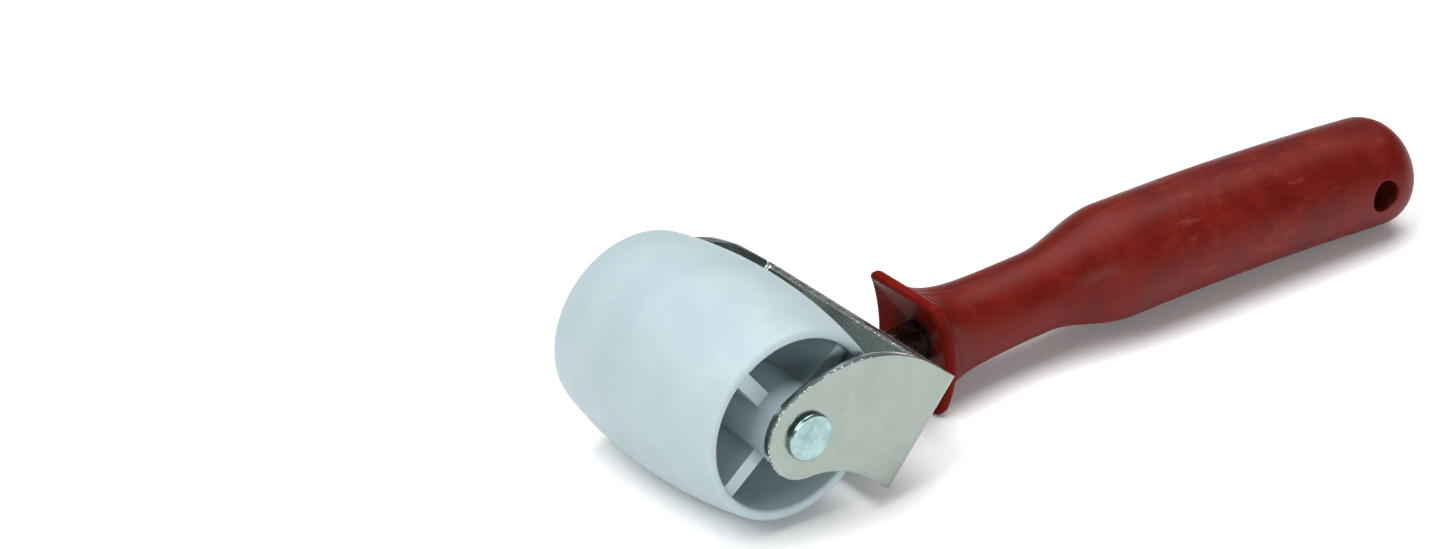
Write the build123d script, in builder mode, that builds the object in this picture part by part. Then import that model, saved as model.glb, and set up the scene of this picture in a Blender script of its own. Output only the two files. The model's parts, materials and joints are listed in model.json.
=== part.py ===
# Seam roller: a crowned plastic roller that spins in a bent steel fork on a plastic handle.
# Millimetres, +Z up. The origin is where the middle of the roller touches the work, so the
# tool lies on the plane Z = 0. The axle runs along Y, and the handle points along +X.

from build123d import *
import math
import os

# Roller
roller_radius = 22.2
roller_length = 50.8
mouth_outer_radius = 19.5
mouth_inner_radius = 17.6
well_floor_radius = 16.6
lip_round = 0.8
hub_radius = 8.0
hub_length = 55.2
web_thickness = 3.0
rib_count = 4
rib_thickness = 3.2
rib_recess = 2.7
rib_start_angle = 39.0

# Axle
rivet_radius = 3.0
rivet_head_radius = 4.9
rivet_head_height = 1.4
rivet_head_round = 0.5
rivet_tail_radius = 3.9
rivet_tail_height = 1.3
rivet_tail_round = 0.8
rivet_bore_radius = 1.5
rivet_bore_depth = 2.5
rivet_bore_round = 0.5
sleeve_radius = 4.0
sleeve_bore_clearance = 0.05
running_clearance = 0.08

# Fork
sheet_thickness = 2.0
fork_width = 60.0
back_distance = 28.1
strap_low = -1.95
strap_high = 23.05
fork_lean = 50.0
bend_inner_radius = 0.8
nose_radius = 9.1
top_edge_radius = 30.0
low_edge_radius = 21.0
foot_round = 2.2

# Shank
shank_radius = 4.0
shank_height = 12.5
shank_depth_in_handle = 58.0
weld_size = 1.6
weld_overlap = 0.2
groove_count = 4
groove_pitch = 9.0
groove_depth = 0.6
groove_width = 3.0
shank_end_chamfer = 0.8

# Handle
flange_front = 45.8
flange_corner_width = 20.5
flange_middle_width = 23.0
flange_height = 25.0
flange_hollow = 2.7
flange_edge = 2.8
flange_corner_round = 1.6
flange_edge_round = 1.1
flange_floor_gap = 0.1
flange_tilt = 4.0
handle_end = 177.3
butt_round = 8.5
hang_hole_radius = 3.4
hang_hole_x = 164.7
hang_hole_height = 12.4

# Handle body, from inside the flange to the butt
body_start = 48.6
flare_width = 10.6
flare_height = 11.7
flare_length = 5.0
flare_squareness = 4.0
neck_radius = 8.4
shoulder_start = 79.5
shoulder_end = 100.0
grip_radius = 12.2
butt_radius = 11.8
crest_x = 116.0
crest_height = 14.1
crest_bend_radius = 760.0
straight_stations = 80
round_stations = 14
skin_turns = 16

axle_height = roller_radius
half_roller = roller_length / 2
half_hub = hub_length / 2
half_fork = fork_width / 2
half_gap = half_fork - sheet_thickness
bend_outer_radius = bend_inner_radius + sheet_thickness
roller_bore = sleeve_radius + running_clearance
hub_wall_middle = (roller_bore + hub_radius) / 2
barrel_wall_middle = (mouth_inner_radius + mouth_outer_radius) / 2

os.makedirs("parts", exist_ok=True)


def save(part, name):
    part.label = name
    export_step(part, f"parts/{name}.step")


# ---- Roller: a crowned barrel, a hub and four ribs, moulded in one piece ----

# Profiles are drawn in the half plane of +Z and revolved about the axle.
axle = Axis((0, 0, axle_height), (0, 1, 0))
axle_section = Plane(origin=(0, 0, axle_height), x_dir=(0, 1, 0), z_dir=(1, 0, 0))
across_axle = Plane(origin=(0, 0, axle_height), x_dir=(1, 0, 0), z_dir=(0, -1, 0))

with BuildPart() as roller:
    # Barrel, web and hub are one profile, revolved
    with BuildSketch(axle_section):
        with BuildLine():
            ThreePointArc(
                (-half_roller, mouth_outer_radius),
                (0, roller_radius),
                (half_roller, mouth_outer_radius),
            )
            Polyline(
                (half_roller, mouth_outer_radius),
                (half_roller, mouth_inner_radius),
                (web_thickness / 2, well_floor_radius),
                (web_thickness / 2, hub_radius),
                (half_hub, hub_radius),
                (half_hub, roller_bore),
                (-half_hub, roller_bore),
                (-half_hub, hub_radius),
                (-web_thickness / 2, hub_radius),
                (-web_thickness / 2, well_floor_radius),
                (-half_roller, mouth_inner_radius),
                (-half_roller, mouth_outer_radius),
            )
        make_face()
    revolve(axis=axle)
    lips = roller.edges().filter_by(GeomType.CIRCLE).filter_by(
        lambda edge: edge.radius > well_floor_radius and abs(edge.center().Y) > web_thickness
    )
    fillet(lips, radius=lip_round)

    # The ribs run from inside the hub's wall to inside the barrel's wall
    with BuildSketch(across_axle):
        with PolarLocations(hub_wall_middle, rib_count, start_angle=rib_start_angle):
            Rectangle(
                barrel_wall_middle - hub_wall_middle,
                rib_thickness,
                align=(Align.MIN, Align.CENTER),
            )
    extrude(amount=half_roller - rib_recess, both=True)

save(roller.part, "roller")


# ---- Axle: a semi-tubular rivet through both cheeks, inside a sleeve that spaces them ----

with BuildPart() as axle_sleeve:
    with BuildSketch(across_axle):
        Circle(sleeve_radius)
        Circle(rivet_radius + sleeve_bore_clearance, mode=Mode.SUBTRACT)
    extrude(amount=half_gap, both=True)

save(axle_sleeve.part, "axle_sleeve")

tail_end = half_fork + rivet_tail_height

with BuildPart() as axle_rivet:
    with BuildSketch(across_axle):
        Circle(rivet_radius)
    extrude(amount=half_fork, both=True)
    with BuildSketch(across_axle.offset(half_fork)):
        Circle(rivet_head_radius)
    extrude(amount=rivet_head_height)
    with BuildSketch(across_axle.offset(-half_fork)):
        Circle(rivet_tail_radius)
    extrude(amount=-rivet_tail_height)
    head_edge = axle_rivet.edges().filter_by(GeomType.CIRCLE).sort_by(Axis.Y)[0]
    fillet(head_edge, radius=rivet_head_round)
    tail_edge = axle_rivet.edges().filter_by(GeomType.CIRCLE).sort_by(Axis.Y)[-1]
    fillet(tail_edge, radius=rivet_tail_round)
    with BuildSketch(across_axle.offset(-tail_end)):
        Circle(rivet_bore_radius)
    extrude(amount=rivet_bore_depth, mode=Mode.SUBTRACT)
    bore_rim = axle_rivet.edges().filter_by(GeomType.CIRCLE).filter_by(
        lambda edge: edge.radius < (rivet_bore_radius + rivet_radius) / 2
    )
    fillet(bore_rim.sort_by(Axis.Y)[-1], radius=rivet_bore_round)

save(axle_rivet.part, "axle_rivet")


# ---- Fork: one strap, bent into two cheeks and a back that leans towards the handle ----

# The fork is drawn in its own leaning frame, with its origin at the axle: x runs away from the
# back, towards the nose, and the other axis of fork_side runs up the back.
lean = math.radians(fork_lean)
nose_way = (-math.sin(lean), 0, math.cos(lean))
up_the_back = (math.cos(lean), 0, math.sin(lean))
fork_side = Plane(origin=(0, 0, axle_height), x_dir=nose_way, z_dir=(0, 1, 0))
fork_plan = Plane(origin=(0, 0, axle_height), x_dir=nose_way, z_dir=up_the_back)

# Both long edges of a cheek are arcs that touch the round nose and run level into the back.
top_centre = (
    -math.sqrt((top_edge_radius - nose_radius) ** 2 - (top_edge_radius - strap_high) ** 2),
    strap_high - top_edge_radius,
)
low_centre = (
    -math.sqrt((low_edge_radius + nose_radius) ** 2 - (low_edge_radius - strap_low) ** 2),
    strap_low - low_edge_radius,
)


def toward(start, end, distance):
    gap = math.dist(start, end)
    return tuple(a + (b - a) * distance / gap for a, b in zip(start, end))


def arc_middle(centre, first, second, radius):
    middle = tuple((a + b) / 2 for a, b in zip(first, second))
    return toward(centre, middle, radius)


top_touch = toward(top_centre, (0, 0), top_edge_radius)
low_touch = toward(low_centre, (0, 0), low_edge_radius)
top_level = (top_centre[0], strap_high)
low_level = (low_centre[0], strap_low)

with BuildPart() as bracket:
    # The bent strap is a U in plan. Its closed far end lies past the nose and is cut off below.
    with BuildSketch(fork_plan.offset(-nose_radius)):
        with Locations((-back_distance, 0)):
            RectangleRounded(
                back_distance + nose_radius + bend_outer_radius,
                fork_width,
                bend_outer_radius,
                align=(Align.MIN, Align.CENTER),
            )
        offset(amount=-sheet_thickness, mode=Mode.SUBTRACT)
    extrude(amount=nose_radius + strap_high)

    with BuildSketch(fork_side) as cheek_outline:
        with BuildLine():
            Polyline(
                top_level,
                (-back_distance, strap_high),
                (-back_distance, strap_low),
                low_level,
            )
            ThreePointArc(
                low_level,
                arc_middle(low_centre, low_level, low_touch, low_edge_radius),
                low_touch,
            )
            ThreePointArc(
                low_touch,
                (nose_radius, 0),
                top_touch,
            )
            ThreePointArc(
                top_touch,
                arc_middle(top_centre, top_touch, top_level, top_edge_radius),
                top_level,
            )
        make_face()
        foot = cheek_outline.vertices().sort_by_distance((-back_distance, strap_low, 0))[0]
        fillet(foot, radius=foot_round)
    extrude(amount=half_fork, both=True, mode=Mode.INTERSECT)

    with BuildSketch(across_axle):
        Circle(rivet_radius)
    extrude(amount=half_fork, both=True, mode=Mode.SUBTRACT)

save(bracket.part, "bracket")


# ---- Shank: a round rod, cut to the back's lean and welded to it, moulded into the handle ----


def across_handle(x, height):
    return Plane(origin=(x, 0, height), x_dir=(0, 1, 0), z_dir=(1, 0, 0))


shank_end = flange_front + flange_hollow + shank_depth_in_handle
weld_x = (back_distance + (shank_height - axle_height) * math.cos(lean)) / math.sin(lean)
back_face = Plane(
    origin=(weld_x, 0, shank_height),
    x_dir=(0, 1, 0),
    z_dir=(math.sin(lean), 0, -math.cos(lean)),
)

with BuildPart() as shank:
    with BuildSketch(across_handle(0, shank_height)):
        Circle(shank_radius)
    extrude(amount=shank_end)
    split(bisect_by=back_face, keep=Keep.TOP)
    chamfer(shank.edges().sort_by(Axis.X)[-1], length=shank_end_chamfer)
    with BuildSketch(back_face):
        Ellipse(shank_radius + weld_size, shank_radius / math.sin(lean) + weld_size)
    with BuildSketch(back_face.offset(weld_size)):
        Ellipse(shank_radius - weld_overlap, shank_radius / math.sin(lean) - weld_overlap)
    loft()
    for index in range(groove_count):
        groove_x = shank_end - (index + 1) * groove_pitch
        with BuildSketch(across_handle(groove_x, shank_height)):
            Circle(shank_radius)
            Circle(shank_radius - groove_depth, mode=Mode.SUBTRACT)
        extrude(amount=groove_width, mode=Mode.SUBTRACT)

save(shank.part, "shank")


# ---- Handle: one moulding with a hollowed flange, a neck, a swelling grip and a hang hole ----

round_start = handle_end - butt_round
flange_half_height = flange_height / 2
flange_middle = flange_floor_gap + flange_half_height
tilt = math.radians(flange_tilt)


def centre_height(x):
    """The handle's centre line is an arc that crests under the palm."""
    return crest_height - (x - crest_x) ** 2 / (2 * crest_bend_radius)


def body_radius(x):
    """A straight neck, an S-shaped shoulder and a grip that tapers to the butt."""
    rise = min(max((x - shoulder_start) / (shoulder_end - shoulder_start), 0), 1)
    shoulder = (grip_radius - neck_radius) * rise**2 * (3 - 2 * rise)
    taper = max(x - shoulder_end, 0) / (handle_end - shoulder_end)
    past_round = min(max(x - round_start, 0), butt_round)
    rounding = butt_round - math.sqrt(butt_round**2 - past_round**2)
    return neck_radius + shoulder - (grip_radius - butt_radius) * taper - rounding


def body_point(x, turn):
    """A point on the skin. turn is 0 at the bottom and half a circle at the top.

    Next to the flange the section tilts as the flange does."""
    fade = math.exp((body_start - x) / flare_length)
    middle = centre_height(x) + (flange_middle - centre_height(body_start)) * fade
    half_width = body_radius(x) + (flare_width - neck_radius) * fade
    half_height = body_radius(x) + (flare_height - neck_radius) * fade
    power = 2 / (2 + (flare_squareness - 2) * fade)
    # Rounded, so that the two halves of the skin meet exactly at the top
    side = half_width * round(math.sin(turn), 9) ** power
    rise = half_height * abs(math.cos(turn)) ** power * math.copysign(1, -math.cos(turn))
    return Vector(x - rise * math.tan(tilt) * fade, side, middle + rise)


def skin_station(index):
    """Stations are evenly spaced along the handle, then by angle round the butt."""
    if index <= straight_stations:
        return body_start + (round_start - body_start) * index / straight_stations
    angle = math.pi / 2 * (index - straight_stations) / round_stations
    return round_start + butt_round * math.sin(angle)


# One half of the skin is a surface through a grid of points, and the other half mirrors it.
half_skin = Face.make_surface_from_array_of_points(
    [
        [body_point(skin_station(row), math.pi * column / skin_turns)
         for column in range(skin_turns + 1)]
        for row in range(straight_stations + round_stations + 1)
    ],
    tol=0.005,
    min_deg=3,
    max_deg=5,
)
other_half = mirror(half_skin, Plane.XZ)
skin_edges = half_skin.edges() + other_half.edges()
front_ring = skin_edges.filter_by(lambda edge: edge.center().X < shoulder_start)
butt_ring = skin_edges.filter_by(lambda edge: edge.center().X > round_start)
body = Solid(Shell([half_skin, other_half, Face(Wire(front_ring)), Face(Wire(butt_ring))]))

hollow_radius = (flange_half_height**2 + flange_hollow**2) / (2 * flange_hollow)
hollow_centre = flange_hollow - hollow_radius
flange_origin = (flange_front, 0, flange_middle)
into_handle = (math.cos(tilt), 0, math.sin(tilt))
flange_face = Plane(origin=flange_origin, x_dir=(0, 1, 0), z_dir=into_handle)
flange_side = Plane(origin=flange_origin, x_dir=into_handle, z_dir=(0, -1, 0))
half_corner = flange_corner_width / 2
half_middle = flange_middle_width / 2

with BuildPart() as handle:
    # Flange: an outline with bulged sides, cut to a sheet that is hollow towards the roller
    with BuildSketch(flange_face):
        with BuildLine():
            ThreePointArc(
                (half_corner, -flange_half_height),
                (half_middle, 0),
                (half_corner, flange_half_height),
            )
            Line((half_corner, flange_half_height), (-half_corner, flange_half_height))
            ThreePointArc(
                (-half_corner, flange_half_height),
                (-half_middle, 0),
                (-half_corner, -flange_half_height),
            )
            Line((-half_corner, -flange_half_height), (half_corner, -flange_half_height))
        make_face()
    extrude(amount=flange_hollow + flange_edge)
    flange_corners = handle.edges().filter_by(GeomType.LINE).filter_by(
        Axis(flange_origin, into_handle)
    )
    fillet(flange_corners, radius=flange_corner_round)
    with BuildSketch(flange_side):
        with Locations((hollow_centre, 0)):
            Circle(hollow_radius + flange_edge)
            Circle(hollow_radius, mode=Mode.SUBTRACT)
    extrude(amount=flange_middle_width, both=True, mode=Mode.INTERSECT)
    fillet(handle.edges(), radius=flange_edge_round)

    add(body)

    with BuildSketch(Plane.XZ):
        with Locations((hang_hole_x, hang_hole_height)):
            Circle(hang_hole_radius)
    extrude(amount=flange_middle_width, both=True, mode=Mode.SUBTRACT)

    # The bore is the shank's own shape, because the handle is moulded over it
    add(shank.part, mode=Mode.SUBTRACT)

save(handle.part, "handle")
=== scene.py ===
# Seam roller: the looks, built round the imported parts. Blender works in metres, and the shapes
# below are worked out in millimetres, in the row frame: the origin is where the middle of the
# roller touches the work, the axle runs along Y, the handle points along +X, and Z is up.

import json
import math

import bmesh
import bpy
from mathutils import Matrix, Vector, noise

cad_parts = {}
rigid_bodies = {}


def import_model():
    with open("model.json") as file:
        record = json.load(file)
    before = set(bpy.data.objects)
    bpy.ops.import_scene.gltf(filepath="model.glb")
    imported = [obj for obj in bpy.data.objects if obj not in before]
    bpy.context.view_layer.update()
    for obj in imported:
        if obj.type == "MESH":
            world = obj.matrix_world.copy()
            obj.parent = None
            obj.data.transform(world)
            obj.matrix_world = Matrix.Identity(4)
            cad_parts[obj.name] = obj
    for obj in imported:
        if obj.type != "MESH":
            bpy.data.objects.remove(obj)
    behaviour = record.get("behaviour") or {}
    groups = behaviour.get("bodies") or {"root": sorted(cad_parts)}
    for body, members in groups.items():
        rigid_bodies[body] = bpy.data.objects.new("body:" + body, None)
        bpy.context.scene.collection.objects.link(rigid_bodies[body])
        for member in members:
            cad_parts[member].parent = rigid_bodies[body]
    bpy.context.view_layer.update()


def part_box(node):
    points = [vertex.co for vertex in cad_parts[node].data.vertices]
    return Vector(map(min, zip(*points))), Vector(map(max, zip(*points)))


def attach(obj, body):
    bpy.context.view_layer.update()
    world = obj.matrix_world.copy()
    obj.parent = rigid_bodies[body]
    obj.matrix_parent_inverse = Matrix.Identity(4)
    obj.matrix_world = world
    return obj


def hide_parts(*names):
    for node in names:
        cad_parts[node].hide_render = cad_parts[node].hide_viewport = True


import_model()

MM = 0.001


def middle_mm(node):
    low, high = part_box(node)
    return (low + high) / 2 / MM


def low_mm(node):
    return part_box(node)[0] / MM


def high_mm(node):
    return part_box(node)[1] / MM


# ---- Sizes in millimetres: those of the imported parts, and those of the finer details ----

axle_height = middle_mm("axle_rivet").z

# Roller
roller_radius = axle_height
half_roller = 25.4
half_hub = high_mm("roller").y
mouth_outer_radius = 19.5
mouth_inner_radius = 17.6
well_floor_radius = 16.6
lip_round = 0.85
hub_radius = 8.0
roller_bore = 4.08
web_half = 1.5
rib_half = 1.6
rib_count = 4
rib_top = half_roller - 2.7
rib_start = math.radians(39)
hub_round = 0.5
bore_round = 0.3

# Axle
rivet_radius = 3.0
head_radius = 4.9
head_round = 0.6
head_chamfer = 0.15
head_dome = 0.12
head_outer = -low_mm("axle_rivet").y
tail_outer = high_mm("axle_rivet").y
tail_radius = 3.9
tail_bore = 1.5
tail_bore_depth = 2.5
tail_bore_corner = 0.3
tail_roll_middle = 0.45
sleeve_radius = 4.0
sleeve_bore = 3.05
sleeve_chamfer = 0.25
half_sleeve = high_mm("axle_sleeve").y

# Fork
half_fork = high_mm("bracket").y
sheet = 2.0
back_distance = 28.1
strap_low = -1.95
strap_high = 23.05
bend_inner = 0.8
bend_outer = bend_inner + sheet
nose_radius = 9.1
top_edge_radius = 30.0
low_edge_radius = 21.0
foot_round = 2.2
lean = math.radians(50)

# Shank
shank_radius = 4.0
shank_height = 12.5
shank_end = high_mm("shank").x
groove_pitch = 9.0
groove_width = 3.0
groove_depth = 0.6
groove_count = 4
shank_chamfer = 0.8
shank_clearance = 0.03
weld_size = 1.6

# Handle
flange_front = 45.8
handle_end = high_mm("handle").x
flange_half_corner = 10.25
flange_half_middle = 11.5
flange_half_height = 12.5
flange_middle = 12.6
flange_hollow = 2.7
flange_edge = 2.8
flange_corner_round = 1.6
flange_tilt = math.radians(4)
rim_round = 1.3
flange_dish = 2.4
dish_rim = 0.1
dish_squareness = 12
fillet_reach = 2.6
flare_end = flange_front + 11
body_start = 48.6
flare_width = 10.6
flare_height = 11.7
flare_length = 5.0
flare_squareness = 4.0
neck_radius = 8.4
shoulder_start = 79.5
shoulder_end = 100.0
grip_radius = 12.2
butt_radius = 11.8
butt_round = 8.5
round_start = handle_end - butt_round
crest_x = 116.0
crest_height = 14.1
crest_bend_radius = 760.0
hang_hole_radius = 3.4
hang_hole = (164.7, 12.4)
hang_hole_rim = 0.5
pin_mark_radius = 3.45
pin_marks = ((109.5, 14.0), (155.0, 12.9))
pin_mark_sunk = 0.02
pin_groove = ((0.07, 0.05), (0.17, 0.06), (0.28, pin_mark_sunk))
parting_height = 0.08
parting_half_turn = 0.012


# ---- Mesh tools ----

# Points nearer than this are one point
one_point_within = 0.002


def even(start, stop, steps):
    """Evenly spaced values from start to stop, both included."""
    return [start + (stop - start) * k / steps for k in range(steps + 1)]


def arc(centre, radius, start, end, steps):
    """Points on an arc, in degrees, both ends included."""
    angles = [math.radians(degrees) for degrees in even(start, end, steps)]
    return [(centre[0] + radius * math.cos(a), centre[1] + radius * math.sin(a)) for a in angles]


def mix(a, b, share):
    return tuple(p + (q - p) * share for p, q in zip(a, b))


def rounded_off(start, corner, end, share):
    """A point on the curve that rounds off a corner, a share of the way from start to end."""
    return tuple(
        a * (1 - share) ** 2 + b * 2 * share * (1 - share) + c * share**2
        for a, b, c in zip(start, corner, end)
    )


class Skin:
    """Points in millimetres, and the faces between them, that become one piece."""

    def __init__(self):
        self.points = []
        self.faces = []
        self.surfaces = []
        self.fills = []
        self.surface = 0

    def ring(self, points):
        first = len(self.points)
        self.points.extend(points)
        return list(range(first, len(self.points)))

    def face(self, corners):
        self.faces.append(corners)
        self.surfaces.append(self.surface)

    def bridge(self, one, two, closed=True):
        for i in range(len(one) if closed else len(one) - 1):
            j = (i + 1) % len(one)
            self.face((one[i], one[j], two[j], two[i]))

    def grid(self, rows, closed=False):
        ids = [self.ring(row) for row in rows]
        for one, two in zip(ids, ids[1:]):
            self.bridge(one, two, closed)
        return ids

    def cap(self, ring, centre):
        hub = self.ring([centre])[0]
        for i, corner in enumerate(ring):
            self.face((corner, ring[(i + 1) % len(ring)], hub))

    def fill(self, *loops):
        """A flat face inside the first loop of ids, with the other loops as holes in it."""
        self.fills.append((loops, self.surface))

    def add_fills(self, work):
        work.verts.ensure_lookup_table()
        for loops, surface in self.fills:
            edges = []
            for loop in loops:
                for one, two in zip(loop, loop[1:] + loop[:1]):
                    pair = (work.verts[one], work.verts[two])
                    edges.append(work.edges.get(pair) or work.edges.new(pair))
            made = bmesh.ops.triangle_fill(work, use_beauty=True, edges=edges)
            for part in made["geom"]:
                if isinstance(part, bmesh.types.BMFace):
                    part.material_index = surface

    def piece(self, name, body, slot, node, materials, smooth_below=35):
        """The finished piece. Edges that turn by more than smooth_below degrees stay sharp."""
        mesh = bpy.data.meshes.new(name)
        mesh.from_pydata([[c * MM for c in p] for p in self.points], [], self.faces)
        mesh.polygons.foreach_set("material_index", self.surfaces)
        work = bmesh.new()
        work.from_mesh(mesh)
        self.add_fills(work)
        bmesh.ops.remove_doubles(work, verts=work.verts, dist=one_point_within * MM)
        bmesh.ops.recalc_face_normals(work, faces=work.faces)
        work.to_mesh(mesh)
        work.free()
        mesh.polygons.foreach_set("use_smooth", [True] * len(mesh.polygons))
        mesh.set_sharp_from_angle(angle=math.radians(smooth_below))
        piece = bpy.data.objects.new(name, mesh)
        bpy.context.scene.collection.objects.link(piece)
        for material in materials:
            mesh.materials.append(material)
        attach(piece, body)
        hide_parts(node)
        return piece


def lathe(skin, profile, turns):
    """Turns a profile of (radius, y) about the axle. An end at radius 0 closes in a point."""
    rows = []
    ends = []
    angles = even(0, 2 * math.pi, turns)[:-1]
    for radius, y in profile:
        if radius == 0:
            ends.append((len(rows), (0, y, axle_height)))
            continue
        rows.append([
            (radius * math.cos(a), y, axle_height + radius * math.sin(a)) for a in angles
        ])
    ids = skin.grid(rows, closed=True)
    for place, centre in ends:
        skin.cap(ids[0] if place == 0 else ids[-1], centre)


# ---- Roller: a crowned barrel with a web, a hub and ribs ----

rib_columns = 4
well_columns = 20
crown_half_steps = 28
well_steps = 14
rib_steps = 8
crown_drop = roller_radius - mouth_outer_radius
crown_radius = (half_roller**2 + crown_drop**2) / (2 * crown_drop)


def wall_radius(y):
    share = (abs(y) - web_half) / (half_roller - web_half)
    return well_floor_radius + (mouth_inner_radius - well_floor_radius) * share


def roller_angles(radius):
    """The column angles at a radius: each rib's width, then the well as far as the next rib."""
    half = math.asin(rib_half / radius)
    turn = 2 * math.pi / rib_count
    angles = []
    for rib in range(rib_count):
        middle = rib_start + turn * rib
        angles += even(middle - half, middle + half, rib_columns)[:-1]
        angles += even(middle + half, middle + turn - half, well_columns)[:-1]
    return angles


def roller_points(radius, y, first=0, last=None, columns_at=None):
    """A row at a radius and y, from column first up to last, spaced as at columns_at."""
    angles = roller_angles(columns_at or radius)
    chosen = [angles[k % len(angles)] for k in range(first, last or len(angles))]
    return [(radius * math.cos(a), y, axle_height + radius * math.sin(a)) for a in chosen]


def barrel_edge():
    """The barrel's profile on one side, from the top of the ribs round the lip to the crown."""
    lip_y = half_roller - lip_round
    inner = (lip_y, wall_radius(lip_y) + lip_round)
    outer_rise = math.sqrt((crown_radius - lip_round) ** 2 - lip_y**2)
    outer = (lip_y, roller_radius - crown_radius + outer_rise)
    crown_slope = math.degrees(math.asin(lip_y / (crown_radius - lip_round)))
    profile = [(y, wall_radius(y)) for y in even(rib_top, lip_y, 3)[:-1]]
    profile += arc(inner, lip_round, -90, 0, 8)
    profile += arc(outer, lip_round, 0, 90 - crown_slope, 8)
    return profile


def build_roller():
    skin = Skin()
    edge = barrel_edge()
    crown_end = edge[-1][0]
    crown = [
        (y, roller_radius - crown_radius + math.sqrt(crown_radius**2 - y**2))
        for y in even(crown_end, -crown_end, 2 * crown_half_steps)[1:-1]
    ]
    profile = edge + crown + [(-y, radius) for y, radius in reversed(edge)]
    skin.grid(
        [roller_points(radius, y, columns_at=wall_radius(rib_top)) for y, radius in profile],
        closed=True,
    )
    # The hub, its end faces and its bore
    hub_edge = [(rib_top, hub_radius), (half_hub - 4 * hub_round, hub_radius)]
    hub_edge += arc((half_hub - hub_round, hub_radius - hub_round), hub_round, 90, 0, 4)
    hub_edge += arc((half_hub - bore_round, roller_bore + bore_round), bore_round, 0, -90, 3)
    hub = hub_edge + [(y, roller_bore) for y in even(15, -15, 3)]
    hub += [(-y, radius) for y, radius in reversed(hub_edge)]
    skin.grid([roller_points(r, y, columns_at=hub_radius) for y, r in hub], closed=True)
    for side in (-1, 1):
        for rib in range(rib_count):
            add_rib_and_well(skin, side, rib * (rib_columns + well_columns))
    return skin


def add_rib_and_well(skin, side, start):
    """A rib's top, and the well beside it: its two walls, its floor and its two flanks."""
    well = start + rib_columns
    end = well + well_columns
    depths = even(rib_top, web_half, well_steps)
    for radius in (wall_radius, lambda depth: hub_radius):
        skin.grid([roller_points(radius(d), side * d, well, end + 1) for d in depths])
    floor = even(well_floor_radius, hub_radius, rib_steps)
    skin.grid([roller_points(r, side * web_half, well, end + 1) for r in floor])
    top = even(wall_radius(rib_top), hub_radius, rib_steps)
    skin.grid([roller_points(r, side * rib_top, start, well + 1) for r in top])
    for column in (well, end):
        rows = []
        for d in depths:
            radii = even(wall_radius(d), hub_radius, rib_steps)
            rows.append([roller_points(r, side * d, column, column + 1)[0] for r in radii])
        skin.grid(rows)


# ---- Axle: a semi-tubular rivet in a sleeve ----


def build_rivet():
    """The factory head is on the near side, and the rolled tail is on the far side."""
    flat_radius = head_radius - head_round
    profile = [
        (radius, head_dome * (radius / flat_radius) ** 2 - head_outer)
        for radius in even(0, flat_radius, 8)
    ]
    profile += arc((flat_radius, head_dome + head_round - head_outer), head_round, -84, 0, 10)
    profile += [(head_radius, -half_fork - head_chamfer), (head_radius - head_chamfer, -half_fork)]
    profile += [(rivet_radius, -half_fork), (rivet_radius, half_fork)]
    # The tail's section is an oval that is cut off flat against the cheek
    oval_radius = (tail_radius + tail_bore) / 2
    oval_y = half_fork + tail_roll_middle
    for degrees in even(-32, 180, 18):
        angle = math.radians(degrees)
        radius = oval_radius + (tail_radius - tail_bore) / 2 * math.cos(angle)
        profile.append((radius, max(oval_y + (tail_outer - oval_y) * math.sin(angle), half_fork)))
    bottom = tail_outer - tail_bore_depth
    profile += [
        (tail_bore, bottom + tail_bore_corner), (tail_bore - tail_bore_corner, bottom),
        (0, bottom - tail_bore_corner),
    ]
    skin = Skin()
    lathe(skin, profile, 96)
    return skin


def build_sleeve():
    chamfer = sleeve_chamfer
    profile = [
        (sleeve_radius - chamfer, -half_sleeve), (sleeve_radius, chamfer - half_sleeve),
        (sleeve_radius, half_sleeve - chamfer), (sleeve_radius - chamfer, half_sleeve),
        (sleeve_bore + chamfer, half_sleeve), (sleeve_bore, half_sleeve - chamfer),
        (sleeve_bore, chamfer - half_sleeve), (sleeve_bore + chamfer, -half_sleeve),
        (sleeve_radius - chamfer, -half_sleeve),
    ]
    skin = Skin()
    lathe(skin, profile, 72)
    return skin


# ---- Fork: a punched strap, bent twice ----

nose_way = Vector((-math.sin(lean), 0, math.cos(lean)))
up_the_back = Vector((math.cos(lean), 0, math.sin(lean)))
axle_centre = Vector((0, 0, axle_height))
bend_line = bend_outer - back_distance
half_flat = half_fork - bend_outer

# The fork's surfaces, by their places in its list of materials
sheet_face = 0
torn_face = 1
burnished_face = 2

# How far the edge stands back, across the sheet from the outer face: a rough band where the
# metal tore, then a smooth band where the punch slid, and a rolled corner at the inner face.
edge_profile = (
    (0.0, 0.13), (0.04, 0.07), (0.12, 0.10), (0.22, 0.14), (0.32, 0.08), (0.40, 0.01),
    (0.60, 0.0), (0.90, 0.0), (1.20, 0.01), (1.45, 0.03), (1.65, 0.07), (1.82, 0.14),
    (1.93, 0.23), (2.0, 0.36),
)
torn_until = 0.38

# The tears follow noise. A stride is the step through it from one point of an edge to the next.
tear_height = 0.06
tears_along = 1.3
tears_across = 4.0
cheek_stride = 0.7
strap_stride = 0.9
between_runs = 50

# The back's top edge was sheared on a slant, lower at the inner face, where it also tore
back_slant = 0.85
back_torn_from = 1.5


def in_fork(u, v, y):
    """A point from the fork's own frame: u towards the nose, v up the back."""
    return tuple(axle_centre + nose_way * u + up_the_back * v + Vector((0, y, 0)))


def low_edge(u):
    """The height of the strap's lower edge near the back, where the foot's corner is round."""
    past = foot_round - (u + back_distance)
    if past <= 0:
        return strap_low
    return strap_low + foot_round - math.sqrt(max(foot_round**2 - past**2, 0))


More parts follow.
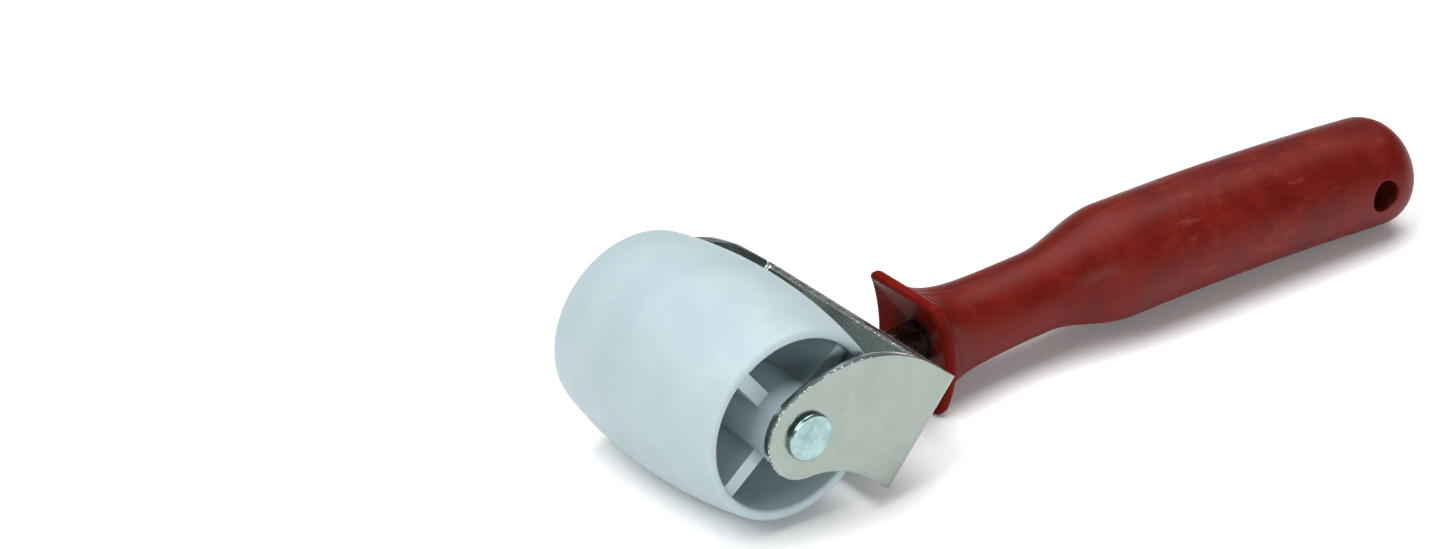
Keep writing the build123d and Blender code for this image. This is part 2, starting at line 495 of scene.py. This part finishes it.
def cheek_outline():
    """The cheek's free edge, from the top of the bend round the nose to the foot."""
    top_u = -math.sqrt((top_edge_radius - nose_radius) ** 2 - (top_edge_radius - strap_high) ** 2)
    low_u = -math.sqrt((low_edge_radius + nose_radius) ** 2 - (low_edge_radius - strap_low) ** 2)
    top_centre = (top_u, strap_high - top_edge_radius)
    low_centre = (low_u, strap_low - low_edge_radius)
    to_nose = math.degrees(math.atan2(-top_centre[1], -top_centre[0]))
    from_nose = math.degrees(math.atan2(-low_centre[1], -low_centre[0]))
    outline = [(bend_line, strap_high)]
    outline += arc(top_centre, top_edge_radius, 90, to_nose, 48)
    outline += arc((0, 0), nose_radius, to_nose, from_nose - 180, 44)[1:]
    outline += arc(low_centre, low_edge_radius, from_nose, 90, 36)[1:]
    outline.append((bend_line, strap_low))
    return outline


def outline_normals(outline):
    normals = []
    for i in range(len(outline)):
        before = Vector(outline[max(i - 1, 0)])
        after = Vector(outline[min(i + 1, len(outline) - 1)])
        along = (after - before).normalized()
        normals.append((-along.y, along.x))
    normals[0] = (0, 1)
    normals[-1] = (0, -1)
    return normals


def tear(place, across):
    """How far a point of the torn band stands back or out. The rest of the edge is even."""
    if not 0 < across < torn_until:
        return 0
    return tear_height * noise.noise(Vector((place * tears_along, across * tears_across, 0)))


def add_cheek(skin, side):
    outline = cheek_outline()
    normals = outline_normals(outline)
    rows = []
    for across, back in edge_profile:
        row = []
        for i, (point, normal) in enumerate(zip(outline, normals)):
            at_bend = i in (0, len(outline) - 1)
            place = i * cheek_stride + 2 * between_runs * side
            depth = back + (0 if at_bend else tear(place, across))
            u = point[0] - normal[0] * depth
            v = point[1] - normal[1] * depth
            row.append(in_fork(u, v, side * (half_fork - across)))
        rows.append(row)
    edge = [skin.ring(rows[0])]
    for (across, _), row in zip(edge_profile, rows[1:]):
        skin.surface = torn_face if across < torn_until else burnished_face
        edge.append(skin.ring(row))
        skin.bridge(edge[-2], edge[-1], closed=False)
    skin.surface = sheet_face
    holes = []
    for ring, across in ((edge[0], 0), (edge[-1], sheet)):
        circle = arc((0, 0), rivet_radius, 0, 360, 48)[:-1]
        holes.append(skin.ring([in_fork(u, v, side * (half_fork - across)) for u, v in circle]))
        skin.fill(ring, holes[-1])
    skin.bridge(*holes)


def strap_place(kind, side, value, across):
    """Where a section of the strap is, some way across the sheet: its u and its y.

    In a bend, value is how far the sheet has turned from the cheek, in degrees. On the back it
    is a share of the half width, and runs from 1 down to -1."""
    if kind == "back":
        return across - back_distance, -half_flat * value
    angle = math.radians(value)
    radius = bend_outer - across
    return bend_line - radius * math.sin(angle), side * (half_flat + radius * math.cos(angle))


def strap_surface(kind, i):
    """The surface from point i of a section to the next. A section goes along the low edge,
    up the inner face, back along the high edge and down the outer face."""
    steps = len(edge_profile)
    if i in (steps - 1, 2 * steps - 1):
        return sheet_face
    across = edge_profile[i if i < steps else 2 * steps - 2 - i][0]
    torn = across < torn_until
    if kind == "back" and i >= steps:
        torn = across > back_torn_from
    return torn_face if torn else burnished_face


def add_strap(skin):
    """The two bends and the back, as one run of sections. A section goes round the sheet."""
    places = [("bend", -1, value) for value in even(0, 90, 12)]
    places += [("back", 0, value) for value in even(1, -1, 60)[1:-1]]
    places += [("bend", 1, value) for value in even(90, 0, 12)]
    ids = []
    for number, (kind, side, value) in enumerate(places):
        rough = 0 if kind == "bend" and value == 0 else 1
        turned = 1 if kind == "back" else math.sin(math.radians(value))
        low = []
        high = []
        for across, back in edge_profile:
            u, y = strap_place(kind, side, value, across)
            place = number * strap_stride
            low_back = back + rough * tear(place, across)
            high_back = back + rough * tear(place + between_runs, across)
            high_back += turned * back_slant * across / sheet
            low.append(in_fork(u, low_edge(u) + low_back, y))
            high.append(in_fork(u, strap_high - high_back, y))
        ids.append(skin.ring(low + high[::-1]))
    for (kind, _, _), one, two in zip(places, ids, ids[1:]):
        for i in range(len(one)):
            j = (i + 1) % len(one)
            skin.surface = strap_surface(kind, i)
            skin.face((one[i], one[j], two[j], two[i]))
    skin.surface = sheet_face


def build_bracket():
    skin = Skin()
    for side in (-1, 1):
        add_cheek(skin, side)
    add_strap(skin)
    return skin


# ---- Shank: a rod welded to the fork's back and moulded into the handle ----

shank_columns = 160
weld_steps = 8
weld_ripples = 26
weld_unevenness = 0.07
weld_wander = 3
weld_along_rod = 1.2
weld_fullness = 0.62
rod_clear_of_weld = 0.5


def rod_ring(x, radius):
    angles = even(0, 2 * math.pi, shank_columns)[:-1]
    return [(x, radius * math.sin(a), shank_height + radius * math.cos(a)) for a in angles]


def weld_rows(weld_centre):
    """The fillet of weld, from its toe on the fork's back to its toe on the rod."""
    columns = []
    for angle in even(0, 2 * math.pi, shank_columns)[:-1]:
        side, rise = math.sin(angle), math.cos(angle)
        wander = noise.noise(Vector((weld_wander * side, weld_wander * rise, 7)))
        ripple = math.sin(weld_ripples * angle)
        toe = weld_size * (1 + weld_unevenness * (ripple + wander - 2))
        on_plate = weld_centre + up_the_back * (shank_radius / math.sin(lean) + toe) * rise
        on_plate.y += (shank_radius + toe) * side
        root = Vector((0, shank_radius * side, shank_height + shank_radius * rise))
        root.x = weld_centre.x + (root.z - shank_height) / math.tan(lean)
        on_rod = root + Vector((toe * weld_along_rod, 0, 0))
        belly = root + weld_fullness * ((on_plate - root) + (on_rod - root))
        columns.append((on_plate, belly, on_rod))
    return [
        [rounded_off(*column, share) for column in columns] for share in even(0, 1, weld_steps)
    ]


def build_shank():
    below_axle = axle_height - shank_height
    weld_x = (back_distance - below_axle * math.cos(lean)) / math.sin(lean)
    weld_centre = Vector((weld_x, 0, shank_height))
    rows = weld_rows(weld_centre)
    weld_end = max(point[0] for point in rows[-1])
    profile = [(weld_end + rod_clear_of_weld, shank_radius)]
    for groove in range(groove_count):
        start = shank_end - (groove_count - groove) * groove_pitch
        stop = start + groove_width
        profile += [
            (start, shank_radius), (start, shank_radius - groove_depth),
            (stop, shank_radius - groove_depth), (stop, shank_radius),
        ]
    profile += [
        (shank_end - shank_chamfer, shank_radius), (shank_end, shank_radius - shank_chamfer)
    ]
    rows += [rod_ring(x, radius) for x, radius in profile]
    skin = Skin()
    ids = skin.grid(rows, closed=True)
    skin.cap(ids[0], tuple(weld_centre))
    skin.cap(ids[-1], (shank_end, 0, shank_height))
    return skin


# ---- Handle: one moulding ----

hollow_radius = (flange_half_height**2 + flange_hollow**2) / (2 * flange_hollow)
hollow_centre = flange_hollow - hollow_radius
bulge = flange_half_middle - flange_half_corner
bulge_radius = (flange_half_height**2 + bulge**2) / (2 * bulge)


def centre_height(x):
    """The handle's centre line is an arc that crests under the palm."""
    return crest_height - (x - crest_x) ** 2 / (2 * crest_bend_radius)


def body_radius(x):
    """A straight neck, an S-shaped shoulder and a grip that tapers to the butt."""
    rise = min(max((x - shoulder_start) / (shoulder_end - shoulder_start), 0), 1)
    shoulder = (grip_radius - neck_radius) * rise**2 * (3 - 2 * rise)
    taper = max(x - shoulder_end, 0) / (handle_end - shoulder_end)
    past_round = min(max(x - round_start, 0), butt_round)
    rounding = butt_round - math.sqrt(butt_round**2 - past_round**2)
    return neck_radius + shoulder - (grip_radius - butt_radius) * taper - rounding


def skin_radius(x):
    """The parting line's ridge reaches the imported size, so the skin beside it is a little less."""
    return body_radius(x) - parting_height


def section(x, turn, proud=0):
    """A point on the skin. turn is 0 at the bottom, and runs up the far side."""
    fade = math.exp((body_start - x) / flare_length)
    half_width = skin_radius(x) + (flare_width - neck_radius) * fade + proud
    half_height = skin_radius(x) + (flare_height - neck_radius) * fade + proud
    power = 2 / (2 + (flare_squareness - 2) * fade)
    side = half_width * math.copysign(abs(math.sin(turn)) ** power, math.sin(turn))
    rise = half_height * math.copysign(abs(math.cos(turn)) ** power, -math.cos(turn))
    middle = centre_height(x) + (flange_middle - centre_height(body_start)) * fade
    return Vector((x - rise * math.tan(flange_tilt) * fade, side, middle + rise))


def side_point(x, z, side, depth=0):
    """A point on the near (side -1) or far (side 1) flank of the grip, sunk by depth."""
    width = math.sqrt(max(skin_radius(x) ** 2 - (z - centre_height(x)) ** 2, 0))
    return (x, side * (width - depth), z)


def outline_distance(y, z):
    """How far a point of the flange's plane is outside its rounded outline."""
    above = abs(z) - flange_half_height + flange_corner_round
    beside = math.hypot(abs(y) + bulge_radius - flange_half_middle, z)
    beside += flange_corner_round - bulge_radius
    outside = math.hypot(max(above, 0), max(beside, 0))
    return min(max(above, beside), 0) + outside - flange_corner_round


def in_flange(depth, side, rise):
    """A point from the flange's own frame, which tilts: depth runs into the handle."""
    x = flange_front + depth * math.cos(flange_tilt) - rise * math.sin(flange_tilt)
    return (x, side, flange_middle + rise * math.cos(flange_tilt) + depth * math.sin(flange_tilt))


def flange_point(turn, inset):
    """Where the direction of a column meets the outline, moved in by inset."""
    inset += parting_height
    toward = section(body_start, turn) - Vector((body_start, 0, flange_middle))
    toward = Vector((toward.y, toward.z)).normalized()
    near, far = 0.0, 2 * flange_half_height
    for _ in range(32):
        reach = (near + far) / 2
        if outline_distance(reach * toward.x, reach * toward.y) > -inset:
            far = reach
        else:
            near = reach
    return reach * toward.x, reach * toward.y


def front_depth(side, rise):
    """The hollow face is an arc, dished further by four slopes that meet along the diagonals."""
    across, up = abs(side) / flange_half_middle, abs(rise) / flange_half_height
    power = dish_squareness
    from_rim = 1 - (across**power + up**power) ** (1 / power)
    dish = flange_dish * min(max(from_rim - dish_rim, 0) / (1 - dish_rim), 1)
    return hollow_centre + math.sqrt(hollow_radius**2 - rise**2) + dish


def back_depth(rise):
    return hollow_centre + math.sqrt((hollow_radius + flange_edge) ** 2 - rise**2)


def flange_rows(turns, ridges):
    """From the shank's hole, over the hollow face and round the rim to the back of the flange."""
    bore = shank_radius + shank_clearance
    mouth = flange_front + flange_hollow + flange_dish
    circle = [(bore * math.sin(turn), -bore * math.cos(turn)) for turn in turns]
    # The shank's hole, from its closed end to just inside its mouth
    rows = [
        [(x, side, shank_height + rise) for side, rise in circle]
        for x in (shank_end - 0.2, shank_end - 20, mouth + 8, mouth + 0.8)
    ]
    # The hollow face
    inner = [flange_point(turn, rim_round) for turn in turns]
    for share in even(0, 1, 24):
        row = []
        for (hole_side, hole_rise), end in zip(circle, inner):
            start = (hole_side, shank_height - flange_middle + hole_rise)
            side, rise = mix(start, end, share)
            row.append(in_flange(front_depth(side, rise), side, rise))
        rows.append(row)
    # The rim: a quarter round out to the edge, and another in to the flange's back
    for degrees in range(10, 190, 10):
        angle = math.radians(degrees)
        row = []
        for turn, ridge in zip(turns, ridges):
            side, rise = flange_point(turn, rim_round * (1 - math.sin(angle)))
            if degrees <= 90:
                depth = front_depth(side, rise) + rim_round * (1 - math.cos(angle))
            else:
                depth = back_depth(rise) - rim_round * (1 + math.cos(angle))
            spread = 1 + ridge / flange_half_height
            row.append(in_flange(depth, side * spread, rise * spread))
        rows.append(row)
    return rows


def neck_rows(turns, ridges, rim):
    """From the back of the flange, down a small fillet to the flare and along to its end."""
    rows = []
    for share in even(0, 1, 8)[1:]:
        row = []
        for turn, ridge, start in zip(turns, ridges, rim):
            start = Vector(start)
            end_x = start.x + fillet_reach
            end = section(end_x, turn, ridge)
            ahead = (section(end_x + 0.1, turn, ridge) - end).normalized()
            inward = Vector((0, -start.y, flange_middle - start.z)).normalized()
            gap = (end - start).length
            corner = mix(start + inward * gap / 2, end - ahead * gap / 2, 0.5)
            row.append(rounded_off(start, corner, end, share))
        rows.append(row)
    for share in even(0, 1, 12)[1:]:
        row = []
        for turn, ridge, start in zip(turns, ridges, rim):
            fillet_end = start[0] + fillet_reach
            x = fillet_end + (flare_end - fillet_end) * share
            row.append(tuple(section(x, turn, ridge)))
        rows.append(row)
    return rows


def sunk_ring(centre, radius, directions, side, depth):
    return [
        side_point(centre[0] + radius * c, centre[1] + radius * s, side, depth)
        for c, s in directions
    ]


def round_patch(skin, loop, centre, radius, side, rings):
    """Fills a rectangle of the grip's skin round a circle: loop is its border, as ids.

    rings are pairs of radius and depth, from the circle inwards. The last ring is returned."""
    border = [skin.points[i] for i in loop]
    directions = []
    for x, _, z in border:
        reach = math.hypot(x - centre[0], z - centre[1])
        directions.append(((x - centre[0]) / reach, (z - centre[1]) / reach))
    last = loop
    for share in even(0, 1, 5)[1:]:
        row = []
        for (x, _, z), (c, s) in zip(border, directions):
            at = mix((x, z), (centre[0] + radius * c, centre[1] + radius * s), share)
            row.append(side_point(*at, side))
        ring = skin.ring(row)
        skin.bridge(last, ring)
        last = ring
    for ring_radius, depth in rings:
        ring = skin.ring(sunk_ring(centre, ring_radius, directions, side, depth))
        skin.bridge(last, ring)
        last = ring
    return last


def align(skin, loop, other):
    """The same border, started and turned so that it runs beside the one on the other flank."""
    def gap(i, j):
        (x, _, z), (other_x, _, other_z) = skin.points[i], skin.points[j]
        return math.hypot(x - other_x, z - other_z)
    return [min(loop, key=lambda i: gap(i, j)) for j in other]


handle_columns = 192
row_spacing = 0.6
opening_margin = 1.15


def parting_columns():
    """The columns' turns, with more of them at the parting line, and its ridge at each."""
    turns = even(0, 2 * math.pi, handle_columns)[:-1]
    for place in (0, math.pi):
        offsets = [share * parting_half_turn for share in (-1, -0.5, 0.5, 1)]
        turns += [(place + offset) % (2 * math.pi) for offset in offsets]
    turns.sort()
    ridges = []
    for turn in turns:
        off = min(abs(turn - place) for place in (0, math.pi, 2 * math.pi))
        ridges.append(parting_height * max(0, 1 - off / parting_half_turn))
    return turns, ridges


def body_stations():
    """Where the rows past the flare are: evenly along the body, then round the butt."""
    straight = round((round_start - flare_end) / row_spacing)
    stations = even(flare_end, round_start, straight)[1:]
    for angle in even(0, math.pi / 2, 24)[1:]:
        stations.append(round_start + butt_round * math.sin(angle))
    return stations


class HandleGrid:
    """The handle's rows of points, from the shank's hole to the butt, with openings in it."""

    def __init__(self, skin):
        self.skin = skin
        self.turns, ridges = parting_columns()
        self.rows = flange_rows(self.turns, ridges)
        self.rows += neck_rows(self.turns, ridges, self.rows[-1])
        self.first_station_row = len(self.rows)
        self.stations = body_stations()
        for x in self.stations:
            row = [tuple(section(x, turn, ridge)) for turn, ridge in zip(self.turns, ridges)]
            self.rows.append(row)
        self.ids = [skin.ring(row) for row in self.rows]
        self.left_out = set()

    def opening(self, centre, radius, side):
        """Leaves out the cells round a circle on a flank, and returns the border, as ids."""
        reach = radius + opening_margin
        rows = [
            self.first_station_row + k
            for k, x in enumerate(self.stations) if abs(x - centre[0]) < reach
        ]
        middle = math.pi / 2 if side > 0 else 3 * math.pi / 2
        half_turn = math.asin(reach / skin_radius(centre[0]))
        columns = [k for k, turn in enumerate(self.turns) if abs(turn - middle) < half_turn]
        self.left_out |= {(i, j) for i in rows[:-1] for j in columns[:-1]}
        loop = [self.ids[i][columns[0]] for i in rows[:-1]]
        loop += [self.ids[rows[-1]][j] for j in columns[:-1]]
        loop += [self.ids[i][columns[-1]] for i in rows[:0:-1]]
        loop += [self.ids[rows[0]][j] for j in columns[:0:-1]]
        return loop

    def close(self):
        """Faces between the rows, a flat end in the shank's hole, and the middle of the butt."""
        for i, (one, two) in enumerate(zip(self.ids, self.ids[1:])):
            for j in range(len(one)):
                if (i, j) not in self.left_out:
                    k = (j + 1) % len(one)
                    self.skin.face((one[j], one[k], two[k], two[j]))
        self.skin.cap(self.ids[0], (self.rows[0][0][0], 0, shank_height))
        last = self.ids[-1]
        centre = (handle_end, 0, centre_height(handle_end))
        for share in (0.66, 0.33):
            ring = self.skin.ring([mix(centre, point, share) for point in self.rows[-1]])
            self.skin.bridge(last, ring)
            last = ring
        self.skin.cap(last, centre)


def add_hang_hole(skin, near_border, far_border):
    """The hole through the butt, with a rounded rim on both flanks."""
    rim = []
    for degrees in range(15, 105, 15):
        angle = math.radians(degrees)
        radius = hang_hole_radius + hang_hole_rim * (1 - math.sin(angle))
        rim.append((radius, hang_hole_rim * (1 - math.cos(angle))))
    near_border = align(skin, near_border, far_border)
    mouths = [
        round_patch(skin, border, hang_hole, hang_hole_radius + hang_hole_rim, side, rim)
        for border, side in ((near_border, -1), (far_border, 1))
    ]
    wall = mouths[0]
    for share in even(0, 1, 12)[1:-1]:
        ring = skin.ring([mix(skin.points[a], skin.points[b], share) for a, b in zip(*mouths)])
        skin.bridge(wall, ring)
        wall = ring
    skin.bridge(wall, mouths[1])


def add_pin_mark(skin, border, centre):
    """An ejector pin leaves a fine groove round a flat that is a little sunk."""
    rings = [(pin_mark_radius - inside, depth) for inside, depth in pin_groove]
    rings += [(pin_mark_radius * share, pin_mark_sunk) for share in (0.7, 0.45, 0.2)]
    last = round_patch(skin, border, centre, pin_mark_radius, -1, rings)
    skin.cap(last, side_point(*centre, -1, pin_mark_sunk))


def build_handle():
    skin = Skin()
    grid = HandleGrid(skin)
    hole_borders = [grid.opening(hang_hole, hang_hole_radius, side) for side in (-1, 1)]
    mark_borders = [grid.opening(mark, pin_mark_radius, -1) for mark in pin_marks]
    grid.close()
    add_hang_hole(skin, *hole_borders)
    for border, mark in zip(mark_borders, pin_marks):
        add_pin_mark(skin, border, mark)
    return skin


# ---- Materials ----


class Finish:
    """A procedural material. Its patterns are in the part's own metres."""

    def __init__(self, name, **values):
        self.material = bpy.data.materials.new(name)
        self.material.use_nodes = True
        self.tree = self.material.node_tree
        self.shader = self.tree.nodes["Principled BSDF"]
        for socket, value in values.items():
            self.shader.inputs[socket.replace("_", " ")].default_value = value
        self.place = self.tree.nodes.new("ShaderNodeTexCoord").outputs["Object"]

    def add(self, kind, settings, *inputs):
        """A node with its settings, and pairs of an input and a value or another node's output."""
        node = self.tree.nodes.new("ShaderNode" + kind)
        for key, value in settings.items():
            setattr(node, key, value)
        for socket, value in inputs:
            if isinstance(value, bpy.types.NodeSocket):
                self.tree.links.new(value, node.inputs[socket])
            else:
                node.inputs[socket].default_value = value
        return node

    def drive(self, socket, value):
        self.tree.links.new(value, self.shader.inputs[socket])

    def stretched(self, scale):
        scaled = self.add("Mapping", {}, ("Vector", self.place), ("Scale", scale))
        return scaled.outputs["Vector"]

    def noise(self, size_mm, detail=2.0, rough=0.5, twist=0.0, at=None):
        """Noise with features of about size_mm."""
        node = self.add(
            "TexNoise", {}, ("Vector", at or self.place), ("Scale", 1 / (size_mm * MM)),
            ("Detail", detail), ("Roughness", rough), ("Distortion", twist),
        )
        return node.outputs["Fac"]

    def remap(self, value, low, high, to_low=0.0, to_high=1.0):
        node = self.add(
            "MapRange", {"interpolation_type": "SMOOTHSTEP"}, ("Value", value),
            ("From Min", low), ("From Max", high), ("To Min", to_low), ("To Max", to_high),
        )
        return node.outputs["Result"]

    def fade(self, distance, start_mm, full_mm, most=1.0):
        """0 as far as start_mm, and most from full_mm on, whichever of them is the larger."""
        return self.remap(distance, start_mm * MM, full_mm * MM, 0.0, most)

    def maths(self, operation, one, two):
        return self.add("Math", {"operation": operation}, (0, one), (1, two)).outputs[0]

    def mixed(self, one, two, share):
        """One value with a share of another in it."""
        return self.maths(
            "ADD", self.maths("MULTIPLY", one, 1 - share), self.maths("MULTIPLY", two, share)
        )

    def blend(self, share, one, two):
        """Colour one where share is 0, and colour two where it is 1."""
        # The Mix node's colours are its inputs 6 and 7 and its output 2
        node = self.add("Mix", {"data_type": "RGBA"}, (0, share), (6, one), (7, two))
        return node.outputs[2]

    def along_x(self):
        return self.add("SeparateXYZ", {}, ("Vector", self.place)).outputs["X"]

    def from_line(self, point_mm, across):
        """Distance from a line through point_mm. across is 0 on the line's axis, and 1 on the
        other two."""
        point = [c * MM for c in point_mm]
        moved = self.add(
            "VectorMath", {"operation": "SUBTRACT"}, (0, self.place), (1, point)
        ).outputs["Vector"]
        flat = self.add(
            "VectorMath", {"operation": "MULTIPLY"}, (0, moved), (1, across)
        ).outputs["Vector"]
        return self.add("VectorMath", {"operation": "LENGTH"}, (0, flat)).outputs["Value"]

    def bump(self, height, depth_mm, over=None):
        """Normals bent by height, on top of the normals in over if there are any."""
        node = self.add("Bump", {}, ("Height", height), ("Distance", depth_mm * MM))
        if over:
            self.tree.links.new(over, node.inputs["Normal"])
        return node.outputs["Normal"]


def roller_plastic():
    """Pale blue-grey nylon, matt and a little cloudy, with a few dark specks."""
    finish = Finish("roller_plastic_look", Specular_IOR_Level=0.35)
    cloud = finish.noise(9, detail=3)
    base = finish.blend(
        finish.remap(cloud, 0.35, 0.65), (0.312, 0.397, 0.421, 1), (0.336, 0.42, 0.446, 1)
    )
    specks = finish.remap(finish.noise(0.6, detail=1), 0.235, 0.200)
    finish.drive("Base Color", finish.blend(specks, base, (0.25, 0.32, 0.36, 1)))
    grain = finish.noise(0.3, detail=3, rough=0.65)
    finish.drive("Roughness", finish.remap(grain, 0.3, 0.7, 0.42, 0.58))
    finish.drive("Normal", finish.bump(grain, 0.03))
    return finish.material


def handle_plastic():
    """Dark red moulded plastic: mottled, scuffed on the grip, less rough on the flange, and
    darkened with painted shade round the rod's entry and in the hang hole."""
    finish = Finish("handle_plastic_look")
    cloud = finish.noise(7, detail=4, rough=0.6)
    mottle = finish.mixed(cloud, finish.noise(0.35, detail=2), 0.4)
    red = finish.blend(
        finish.remap(mottle, 0.34, 0.66), (0.078, 0.0026, 0.0013, 1), (0.130, 0.0068, 0.0034, 1)
    )
    streaks = finish.noise(1.6, detail=5, rough=0.65, at=finish.stretched((0.35, 1, 1)))
    patches = finish.remap(finish.noise(14, detail=2), 0.46, 0.66)
    worn = finish.maths("MULTIPLY", finish.remap(streaks, 0.50, 0.80, 0.0, 0.45), patches)
    on_grip = finish.fade(finish.along_x(), 85, 105)
    scuffs = finish.maths("MULTIPLY", worn, on_grip)
    scuffed_red = finish.blend(scuffs, red, (0.25, 0.070, 0.050, 1))

    # Painted shade: the plastic goes nearly black round the rod's entry in the hollow face, and
    # inside the hang hole
    from_rod = finish.from_line((0, 0, shank_height), (0, 1, 1))
    from_hole = finish.from_line((hang_hole[0], 0, hang_hole[1]), (1, 0, 1))
    by_rod = finish.fade(from_rod, 2 * shank_radius, shank_radius + 1, most=0.88)
    in_hole = finish.fade(from_hole, hang_hole_radius + 0.2, hang_hole_radius - 0.1, most=0.9)
    painted_shade = finish.maths("MAXIMUM", by_rod, in_hole)
    finish.drive("Base Color", finish.blend(painted_shade, scuffed_red, (0.030, 0.006, 0.005, 1)))

    on_flange = finish.fade(finish.along_x(), 53.5, 50.5)
    moulded = finish.remap(cloud, 0.3, 0.7, 0.34, 0.46)
    scuffed = finish.maths("ADD", moulded, finish.maths("MULTIPLY", scuffs, 0.2))
    smoother = finish.maths("MULTIPLY", on_flange, 0.10)
    finish.drive("Roughness", finish.maths("SUBTRACT", scuffed, smoother))
    finish.drive("Specular IOR Level", finish.remap(on_flange, 0.0, 1.0, 0.13, 0.03))
    fine = finish.bump(finish.noise(0.25, detail=2), 0.006)
    finish.drive("Normal", finish.bump(finish.noise(2.6, detail=3), 0.02, over=fine))
    return finish.material


def zinc(name, tint, shiny=0.18, rough=0.30, cloud_mm=6, paler_by=1.12):
    """Bright zinc plate: a little cloudy, with faint waves in its reflections."""
    finish = Finish(name, Metallic=1.0)
    cloud = finish.noise(cloud_mm, detail=4, rough=0.6, twist=0.4)
    paler = tuple(c * paler_by for c in tint[:3]) + (1,)
    finish.drive("Base Color", finish.blend(finish.remap(cloud, 0.3, 0.7), tint, paler))
    haze = finish.mixed(cloud, finish.noise(0.7, detail=3), 0.4)
    finish.drive("Roughness", finish.remap(haze, 0.35, 0.65, shiny, rough))
    finish.drive("Normal", finish.bump(finish.noise(5, detail=2), 0.03))
    return finish.material


def torn_edge():
    """The part of the sheet's edge where the metal tore: dark and rough, with bright grains."""
    finish = Finish("torn_edge_look", Metallic=1.0)
    grains = finish.noise(0.5, detail=4, rough=0.7, twist=0.5)
    finish.drive("Base Color", finish.blend(
        finish.remap(grains, 0.50, 0.62), (0.13, 0.14, 0.13, 1), (0.75, 0.78, 0.75, 1)
    ))
    finish.drive("Roughness", finish.remap(grains, 0.4, 0.62, 0.5, 0.18))
    finish.drive("Normal", finish.bump(grains, 0.08))
    return finish.material


def burnished_edge():
    """The smooth part of the edge: bright and dark streaks that run along the sheet."""
    finish = Finish("burnished_edge_look", Metallic=1.0)
    streaks = finish.noise(0.6, detail=2, at=finish.stretched((0.12, 1, 0.12)))
    finish.drive("Base Color", finish.blend(
        finish.remap(streaks, 0.38, 0.62), (0.26, 0.29, 0.28, 1), (0.72, 0.76, 0.75, 1)
    ))
    finish.drive("Roughness", finish.remap(streaks, 0.3, 0.7, 0.26, 0.14))
    finish.drive("Normal", finish.bump(streaks, 0.015))
    return finish.material


# ---- Pieces ----

plate = zinc("plated_sheet_look", (0.255, 0.295, 0.268, 1))
# The rod's tint is a dark, reddish grey: painted shade, and a painted reflection of the red handle
rod_plate_painted_shade = zinc("plated_rod_look", (0.105, 0.082, 0.080, 1), shiny=0.2, rough=0.45)
rivet_plate = zinc(
    "axle_steel_look", (0.22, 0.31, 0.31, 1), shiny=0.10, rough=0.24, cloud_mm=2.6, paler_by=1.5
)

build_roller().piece("roller_skin", "roller", "roller_plastic", "roller", [roller_plastic()])
build_sleeve().piece("sleeve_skin", "frame", "axle_steel", "axle_sleeve", [rivet_plate])
build_rivet().piece("rivet_skin", "frame", "axle_steel", "axle_rivet", [rivet_plate])
build_bracket().piece(
    "fork_skin", "frame", "plated_sheet", "bracket", [plate, torn_edge(), burnished_edge()],
    smooth_below=14,
)
build_shank().piece("shank_skin", "frame", "plated_rod", "shank", [rod_plate_painted_shade])
build_handle().piece("handle_skin", "frame", "handle_plastic", "handle", [handle_plastic()])


# ---- Stage, lights and camera ----


def pale_floor():
    finish = Finish("floor_look", Roughness=0.9, Specular_IOR_Level=0.1)
    cloud = finish.noise(400, detail=1)
    finish.drive("Base Color", finish.blend(cloud, (0.93, 0.93, 0.93, 1), (0.95, 0.95, 0.95, 1)))
    return finish.material


half_floor = 6.0
floor_mesh = bpy.data.meshes.new("floor")
floor_mesh.from_pydata(
    [(-half_floor, -half_floor, 0), (half_floor, -half_floor, 0),
     (half_floor, half_floor, 0), (-half_floor, half_floor, 0)],
    [], [(0, 1, 2, 3)],
)
floor_mesh.materials.append(pale_floor())
floor = bpy.data.objects.new("floor", floor_mesh)
bpy.context.scene.collection.objects.link(floor)


def aimed(place, aim, roll=0.0):
    """Stands at place and looks at aim, with the top turned aside by roll."""
    turned = (aim - place).to_track_quat("-Z", "Y").to_matrix() @ Matrix.Rotation(roll, 3, "Z")
    return Matrix.Translation(place) @ turned.to_4x4()


lights_aim = Vector((0.06, 0, 0.015))


def soft_light(name, place, size, power):
    lamp = bpy.data.lights.new(name, "AREA")
    lamp.shape = "RECTANGLE"
    lamp.size, lamp.size_y = size
    lamp.energy = power
    light = bpy.data.objects.new(name, lamp)
    light.matrix_world = aimed(Vector(place), lights_aim)
    bpy.context.scene.collection.objects.link(light)


soft_light("key", (-0.9, 0.1, 1.3), (1.2, 1.2), 24)
soft_light("top", (0.5, 0.3, 1.6), (1.4, 1.4), 25)
soft_light("fill", (-0.15, -1.2, 0.35), (0.5, 0.3), 8)

world = bpy.data.worlds.new("studio")
world.use_nodes = True
world.node_tree.nodes["Background"].inputs["Color"].default_value = (0.98, 0.99, 1.0, 1)
world.node_tree.nodes["Background"].inputs["Strength"].default_value = 0.25
bpy.context.scene.world = world
bpy.context.scene.view_settings.view_transform = "Standard"

# The camera stands to the left, in front of the roller, and looks back along the tool
camera_place = Vector((-0.4883, -0.6720, 0.4922))
camera_aim = Vector((0.00256, 0, 0.04275))
camera_roll = math.radians(-0.744)
lens = bpy.data.cameras.new("camera")
lens.sensor_width = 36
lens.lens = 124.57
lens.clip_start = 0.05
camera = bpy.data.objects.new("camera", lens)
camera.matrix_world = aimed(camera_place, camera_aim, camera_roll)
bpy.context.scene.collection.objects.link(camera)
bpy.context.scene.camera = camera
